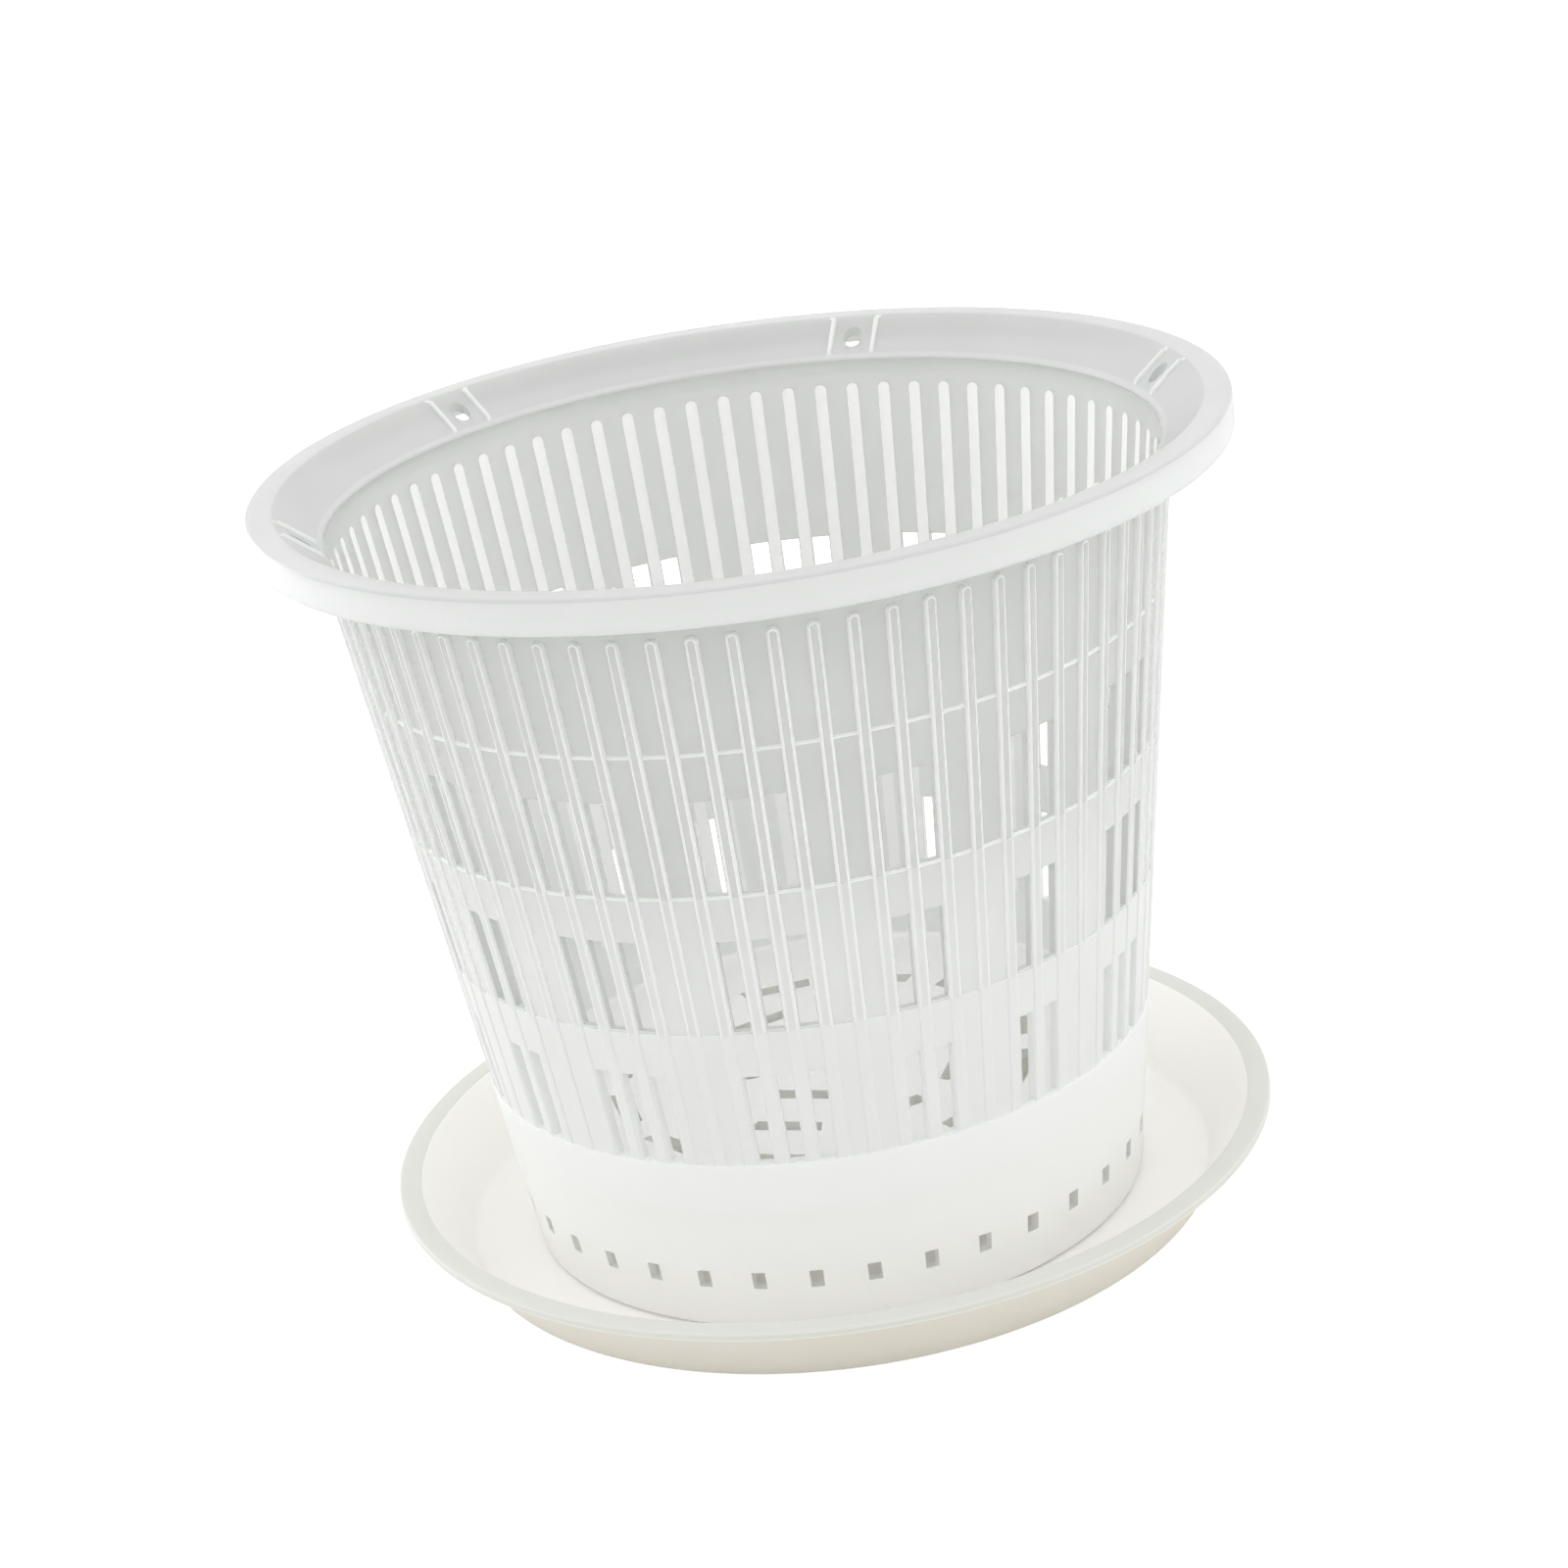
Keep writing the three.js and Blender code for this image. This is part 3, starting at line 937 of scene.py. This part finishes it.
def moulded_plastic(
    name, tint, cloud, cloud_mm, roughness, grain_mm, grain_depth_mm, body, fade=None
):
    """A moulded thermoplastic. Its colour clouds softly, and its gloss breaks up a little.

    The grain is the slight waviness of a moulded wall, so that its gloss isn't a mirror's. With a
    fade, given as a colour, a lower and an upper height in metres, the tint goes over into that
    colour between the two heights.
    """
    material = bpy.data.materials.new(name)
    material.use_nodes = True
    tree = material.node_tree
    tree.nodes.clear()
    place = add_node(tree, "ShaderNodeTexCoord")
    flow = add_node(
        tree,
        "ShaderNodeTexNoise",
        [(place.outputs["Object"], "Vector")],
        Scale=per_millimetre(cloud_mm),
        Detail=2.0,
    )
    tone = add_node(
        tree,
        "ShaderNodeMix",
        [
            (flow.outputs["Fac"], "Factor"),
            ((*tint, 1), MIX_FIRST),
            ((*cloud, 1), MIX_SECOND),
        ],
        data_type="RGBA",
    )
    if fade:
        upper, low, high = fade
        split = add_node(tree, "ShaderNodeSeparateXYZ", [(place.outputs["Object"], 0)])
        height = add_node(
            tree,
            "ShaderNodeMapRange",
            [(split.outputs["Z"], "Value")],
            interpolation_type="SMOOTHSTEP",
            From_Min=low,
            From_Max=high,
        )
        tone = add_node(
            tree,
            "ShaderNodeMix",
            [
                (height.outputs["Result"], "Factor"),
                (tone.outputs[MIX_RESULT], MIX_FIRST),
                ((*upper, 1), MIX_SECOND),
            ],
            data_type="RGBA",
        )
    gloss = add_node(
        tree,
        "ShaderNodeMapRange",
        [(flow.outputs["Fac"], "Value")],
        From_Min=NOISE_LOW,
        From_Max=NOISE_HIGH,
        To_Min=roughness * (1 - GLOSS_SPREAD),
        To_Max=roughness * (1 + GLOSS_SPREAD),
    )
    grain = add_node(
        tree,
        "ShaderNodeTexNoise",
        [(place.outputs["Object"], "Vector")],
        Scale=per_millimetre(grain_mm),
        Detail=1.0,
    )
    bump = add_node(
        tree,
        "ShaderNodeBump",
        [(grain.outputs["Fac"], "Height")],
        Strength=1.0,
        Distance=grain_depth_mm * MM,
    )
    shader = add_node(
        tree,
        "ShaderNodeBsdfPrincipled",
        [
            (tone.outputs[MIX_RESULT], "Base Color"),
            (gloss.outputs["Result"], "Roughness"),
            (bump.outputs["Normal"], "Normal"),
            *((value, socket) for socket, value in body.items()),
        ],
    )
    add_node(tree, "ShaderNodeOutputMaterial", [(shader.outputs["BSDF"], "Surface")])
    return material


# The looks of the pot's one plastic: tint, share of the light that passes through, roughness, and
# size in millimetres of its clouds. Panels and ribs are numbered or named by their tier, from the
# lowest slotted one up. The tints paint light and shade: the edge look and the look inside over the
# ribs are a painted highlight, and the rim, slope and upper tiers' looks are painted shade.
POT_LOOKS = {
    "panel 3": ("thin", 0.52, 0.22, 14),
    "panel 2": ("thin", 0.52, 0.22, 14),
    "panel 1": ("low", 0.34, 0.24, 14),
    "panel 0": ("low", 0.25, 0.31, 14),
    "rib high": ("thin", 0.48, 0.24, 9),
    "rib middle": ("low", 0.4, 0.3, 9),
    "rib low": ("low", 0.25, 0.31, 9),
    "edge": ("edge", 0.32, 0.3, 6),
    "stripe": ("clear", 0.2, 0.3, 9),
    "cut": ("cut", 0.4, 0.3, 6),
    "slope": ("slope", 0.42, 0.3, 18),
    "rim": ("rim", 0.42, 0.3, 18),
    "skirt": ("skirt", 0.45, 0.31, 18),
    "base": ("clear", 0.3, 0.34, 16),
    "floor": ("clear", 0.18, 0.34, 16),
    "cavity": ("clear", 0.5, 0.34, 16),
}

# Looks whose tint goes over into another one with height: that tint, and from where to where in
# millimetres above the foot. The fades are painted light and shade: the base is painted lighter
# towards the foot, and the first slotted tier darker towards its top.
FADES = {
    "base": ("edge", 10, 29),
    "panel 1": ("thin", 60, 80),
    "rib middle": ("thin", 60, 80),
}


def natural_polypropylene(finishes, look):
    # Natural polypropylene, injection moulded in a polished tool. Its thin panels show what is close
    # behind them and its thick rim and base are milky. Its tints paint light and shade: its moulded
    # edges and fins are painted lighter as a painted highlight, and its rim, flange and upper tiers
    # darker as painted shade.
    tint, through, roughness, cloud_mm = POT_LOOKS[look]
    fade = None
    if look in FADES:
        upper, low, high = FADES[look]
        heights = (POT_LOW.z + low * MM, POT_LOW.z + high * MM)
        fade = (getattr(finishes, upper + "_tint"), *heights)
    return moulded_plastic(
        "polypropylene natural, moulded, " + look,
        getattr(finishes, tint + "_tint"),
        getattr(finishes, tint + "_cloud"),
        cloud_mm,
        roughness,
        grain_mm=2.5,
        grain_depth_mm=0.008,
        body={"IOR": POLYPROPYLENE_IOR, "Transmission Weight": through},
        fade=fade,
    )


def cream_polypropylene(finishes, side):
    # Pigmented polypropylene, moulded: light goes in a little way, so its edges stay bright. Its lip
    # and outside take darker tints than its inside, as painted shade.
    return moulded_plastic(
        "polypropylene cream, moulded, " + side,
        getattr(finishes, side + "_tint"),
        getattr(finishes, side + "_cloud"),
        cloud_mm=20,
        roughness=0.42,
        grain_mm=1.5,
        grain_depth_mm=0.006,
        body={
            "IOR": POLYPROPYLENE_IOR,
            "Subsurface Weight": 0.2,
            "Subsurface Radius": (1.0, 0.95, 0.85),
            "Subsurface Scale": 1.5 * MM,
        },
    )


# ---------------------------------------------------------------- the studio

# Lamps: name, place and size across, in metres, in the order they are made. All aim at one point.
LAMPS = (
    ("key", (0.62, 0.35, 0.78), 0.35),
    ("fill", (-0.75, 0.2, 0.45), 0.5),
    ("low right", (0.8, -0.3, 0.1), 0.4),
    ("low left", (-0.5, 0.42, 0.14), 0.36),
)
LAMPS_AIM = (0, 0, 0.06)

# Where the photograph was taken from and which way it looks, as fitted to it.
CAMERA_SPOT = (0, -0.53741, 0.27164)
CAMERA_AHEAD = (-0.00026, 0.93665, -0.35025)
SENSOR_WIDTH_MM = 36
CLIP_NEAR, CLIP_FAR = 0.01, 50

# The floor sheet: its tone, the light that lifts it where the camera, a clear wall or a gloss shows
# it, what the camera sees on top of that, half its width in metres, and how far it lies under the
# saucer.
SHEET_TONE = (0.75, 0.75, 0.75, 1)
SHEET_LIFT, SHEET_CAMERA_LIFT = 0.1, 0.5
SHEET_HALF = 6.0
SHEET_DROP = 0.05 * MM

BOUNCES = 64


def area_lamp(name, spot, size, watts):
    """A round lamp that aims at the pot."""
    data = bpy.data.lights.new(name, "AREA")
    data.shape = "DISK"
    data.size = size
    data.energy = watts
    lamp = bpy.data.objects.new(name, data)
    lamp.location = spot
    lamp.rotation_mode = "QUATERNION"
    lamp.rotation_quaternion = (Vector(LAMPS_AIM) - Vector(spot)).to_track_quat("-Z", "Y")
    bpy.context.scene.collection.objects.link(lamp)


def seen_as_backdrop(tree):
    """1 for rays from the camera and for rays that a gloss or a clear wall sends on, else 0."""
    path = add_node(tree, "ShaderNodeLightPath")
    seen = path.outputs["Is Camera Ray"]
    for kind in ("Is Glossy Ray", "Is Transmission Ray"):
        either = add_node(
            tree, "ShaderNodeMath", [(seen, 0), (path.outputs[kind], 1)], operation="MAXIMUM"
        )
        seen = either.outputs[0]
    return seen


# ---------------------------------------------------------------- operators


class ORCHIDPOT_OT_pot(bpy.types.Operator):
    """Build the ribbed and slotted pot"""

    bl_idname = "orchidpot.pot"
    bl_label = "Pot"

    def execute(self, context):
        scene = context.scene
        shape = PotShape(in_millimetres(scene.orchid_pot))
        points, faces, looks = shape.skin()
        points[:, 2] += POT_LOW.z / MM
        plastics = [natural_polypropylene(scene.orchid_finishes, look) for look in POT_LOOKS]
        order = list(POT_LOOKS)
        face_plastics = [order.index(look) for look in looks]
        piece = new_piece("pot_moulding", points, faces, plastics, face_plastics)
        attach(piece, "pot")
        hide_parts("orchid_pot")
        return {"FINISHED"}


class ORCHIDPOT_OT_saucer(bpy.types.Operator):
    """Build the saucer"""

    bl_idname = "orchidpot.saucer"
    bl_label = "Saucer"

    def execute(self, context):
        scene = context.scene
        sizes = in_millimetres(scene.orchid_saucer)
        top = SAUCER_HIGH.z / MM
        section = saucer_section(sizes, top)
        points, faces = turned_skin(section, SAUCER_SEGMENTS)
        # The lip's darker tint, painted shade, starts at the outermost row, and the inside's where
        # lip and wall meet. The faces before the lip take the outside's darker tint, also painted
        # shade.
        mouth = sizes.floor_radius + sizes.flare
        rows = range(len(section))
        lip_from = max(rows, key=lambda i: (section[i][0], -i))
        inner_from = min(rows, key=lambda i: abs(section[i][0] - mouth) + abs(section[i][1] - top))
        plastics = [
            cream_polypropylene(scene.orchid_finishes, side)
            for side in ("outside", "lip", "inside")
        ]
        face_rows = [min(face) // SAUCER_SEGMENTS for face in faces]
        face_plastics = [(row >= lip_from) + (row >= inner_from) for row in face_rows]
        piece = new_piece("saucer_moulding", points, faces, plastics, face_plastics)
        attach(piece, "saucer")
        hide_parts("saucer")
        return {"FINISHED"}


class ORCHIDPOT_OT_studio(bpy.types.Operator):
    """Build the floor, the lamps, the world and the camera"""

    bl_idname = "orchidpot.studio"
    bl_label = "Studio"

    def execute(self, context):
        scene = context.scene
        studio = scene.orchid_studio
        self.world(scene, studio)
        self.floor(scene)
        for name, spot, size in LAMPS:
            area_lamp(name, spot, size, getattr(studio, name.replace(" ", "_")))
        self.camera(scene, studio)
        scene.view_settings.view_transform = "Standard"
        # The pot is a bright cavity with thin walls: light bounces in it many times.
        scene.cycles.max_bounces = BOUNCES
        scene.cycles.diffuse_bounces = BOUNCES
        scene.cycles.glossy_bounces = BOUNCES
        scene.cycles.transmission_bounces = BOUNCES
        # Blurring the walls' gloss after a bounce would lose light in them.
        scene.cycles.blur_glossy = 0
        return {"FINISHED"}

    def world(self, scene, studio):
        """A light tent, brighter at the sides, that is plain white where it is seen."""
        world = bpy.data.worlds.new("studio")
        scene.world = world
        world.use_nodes = True
        tree = world.node_tree
        tree.nodes.clear()
        place = add_node(tree, "ShaderNodeTexCoord")
        split = add_node(tree, "ShaderNodeSeparateXYZ", [(place.outputs["Generated"], 0)])
        across = split.outputs["X"]
        sides = add_node(tree, "ShaderNodeMath", [(across, 0), (across, 1)], operation="MULTIPLY")
        total = studio.tent
        for source, added in (
            (split.outputs["Y"], studio.tent_back),
            (sides.outputs[0], studio.tent_sides),
            (split.outputs["Z"], studio.tent_top),
        ):
            tent = add_node(
                tree,
                "ShaderNodeMath",
                [(source, 0), (added, 1), (total, 2)],
                operation="MULTIPLY_ADD",
            )
            total = tent.outputs[0]
        ambient = add_node(tree, "ShaderNodeBackground", [(total, "Strength")], Color=WHITE)
        white = add_node(tree, "ShaderNodeBackground", Color=WHITE, Strength=1.0)
        mix = add_node(
            tree,
            "ShaderNodeMixShader",
            [(seen_as_backdrop(tree), 0), (ambient.outputs[0], 1), (white.outputs[0], 2)],
        )
        add_node(tree, "ShaderNodeOutputWorld", [(mix.outputs[0], "Surface")])

    def floor(self, scene):
        # A matt white sheet. What the camera sees of it is lifted past white, so that only the deep
        # part of its shadow shows. What shows through the plastic or in its gloss is lifted less,
        # so that it isn't a lamp.
        material = bpy.data.materials.new("paper white, matt")
        material.use_nodes = True
        tree = material.node_tree
        tree.nodes.clear()
        path = add_node(tree, "ShaderNodeLightPath")
        wherever_seen = add_node(
            tree,
            "ShaderNodeMath",
            [(seen_as_backdrop(tree), 0), (SHEET_LIFT, 1)],
            operation="MULTIPLY",
        )
        lift = add_node(
            tree,
            "ShaderNodeMath",
            [
                (path.outputs["Is Camera Ray"], 0),
                (SHEET_CAMERA_LIFT, 1),
                (wherever_seen.outputs[0], 2),
            ],
            operation="MULTIPLY_ADD",
        )
        paper = add_node(tree, "ShaderNodeBsdfDiffuse", Color=SHEET_TONE)
        glow = add_node(tree, "ShaderNodeEmission", [(lift.outputs[0], "Strength")], Color=WHITE)
        both = add_node(
            tree, "ShaderNodeAddShader", [(paper.outputs[0], 0), (glow.outputs[0], 1)]
        )
        add_node(tree, "ShaderNodeOutputMaterial", [(both.outputs[0], "Surface")])
        half = SHEET_HALF
        mesh = bpy.data.meshes.new("studio_floor")
        corners = [(-half, -half, 0), (half, -half, 0), (half, half, 0), (-half, half, 0)]
        mesh.from_pydata(corners, [], [(0, 1, 2, 3)])
        mesh.materials.append(material)
        sheet_object = bpy.data.objects.new("studio_floor", mesh)
        sheet_object.location.z = -SHEET_DROP
        scene.collection.objects.link(sheet_object)

    def camera(self, scene, studio):
        """The photograph's camera, looking along its line of sight and rolled about it."""
        data = bpy.data.cameras.new("camera")
        data.sensor_fit = "HORIZONTAL"
        data.sensor_width = SENSOR_WIDTH_MM
        data.lens = studio.lens
        data.clip_start = CLIP_NEAR
        data.clip_end = CLIP_FAR
        camera = bpy.data.objects.new("camera", data)
        ahead = Vector(CAMERA_AHEAD).normalized()
        right = ahead.cross(Vector((0, 0, 1))).normalized()
        up = right.cross(ahead)
        c, s = math.cos(studio.roll), math.sin(studio.roll)
        rolled_right = right * c - up * s
        rolled_up = up * c + right * s
        turn = Matrix((rolled_right, rolled_up, -ahead)).transposed()
        camera.matrix_world = Matrix.Translation(CAMERA_SPOT) @ turn.to_4x4()
        scene.collection.objects.link(camera)
        scene.camera = camera


class ORCHIDPOT_PT_panel(bpy.types.Panel):
    """Buttons and sizes in the 3D view's sidebar"""

    bl_idname = "ORCHIDPOT_PT_panel"
    bl_label = "Orchid pot"
    bl_space_type = "VIEW_3D"
    bl_region_type = "UI"
    bl_category = "Orchid pot"

    def draw(self, context):
        layout = self.layout
        for operator in OPERATORS:
            layout.operator(operator.bl_idname)
        for name in GROUPS:
            box = layout.box()
            group = getattr(context.scene, name)
            for prop in group.bl_rna.properties:
                if prop.identifier not in ("rna_type", "name"):
                    box.prop(group, prop.identifier)


GROUPS = {
    "orchid_pot": OrchidPotSizes,
    "orchid_saucer": OrchidPotSaucerSizes,
    "orchid_finishes": OrchidPotFinishes,
    "orchid_studio": OrchidPotStudio,
}
OPERATORS = (ORCHIDPOT_OT_pot, ORCHIDPOT_OT_saucer, ORCHIDPOT_OT_studio)
CLASSES = (*GROUPS.values(), *OPERATORS, ORCHIDPOT_PT_panel)


def register():
    for cls in CLASSES:
        bpy.utils.register_class(cls)
    for name, group in GROUPS.items():
        setattr(bpy.types.Scene, name, PointerProperty(type=group))


def unregister():
    for name in GROUPS:
        delattr(bpy.types.Scene, name)
    for cls in reversed(CLASSES):
        bpy.utils.unregister_class(cls)


def main():
    register()
    bpy.ops.orchidpot.pot()
    bpy.ops.orchidpot.saucer()
    bpy.ops.orchidpot.studio()


if __name__ == "__main__":
    main()
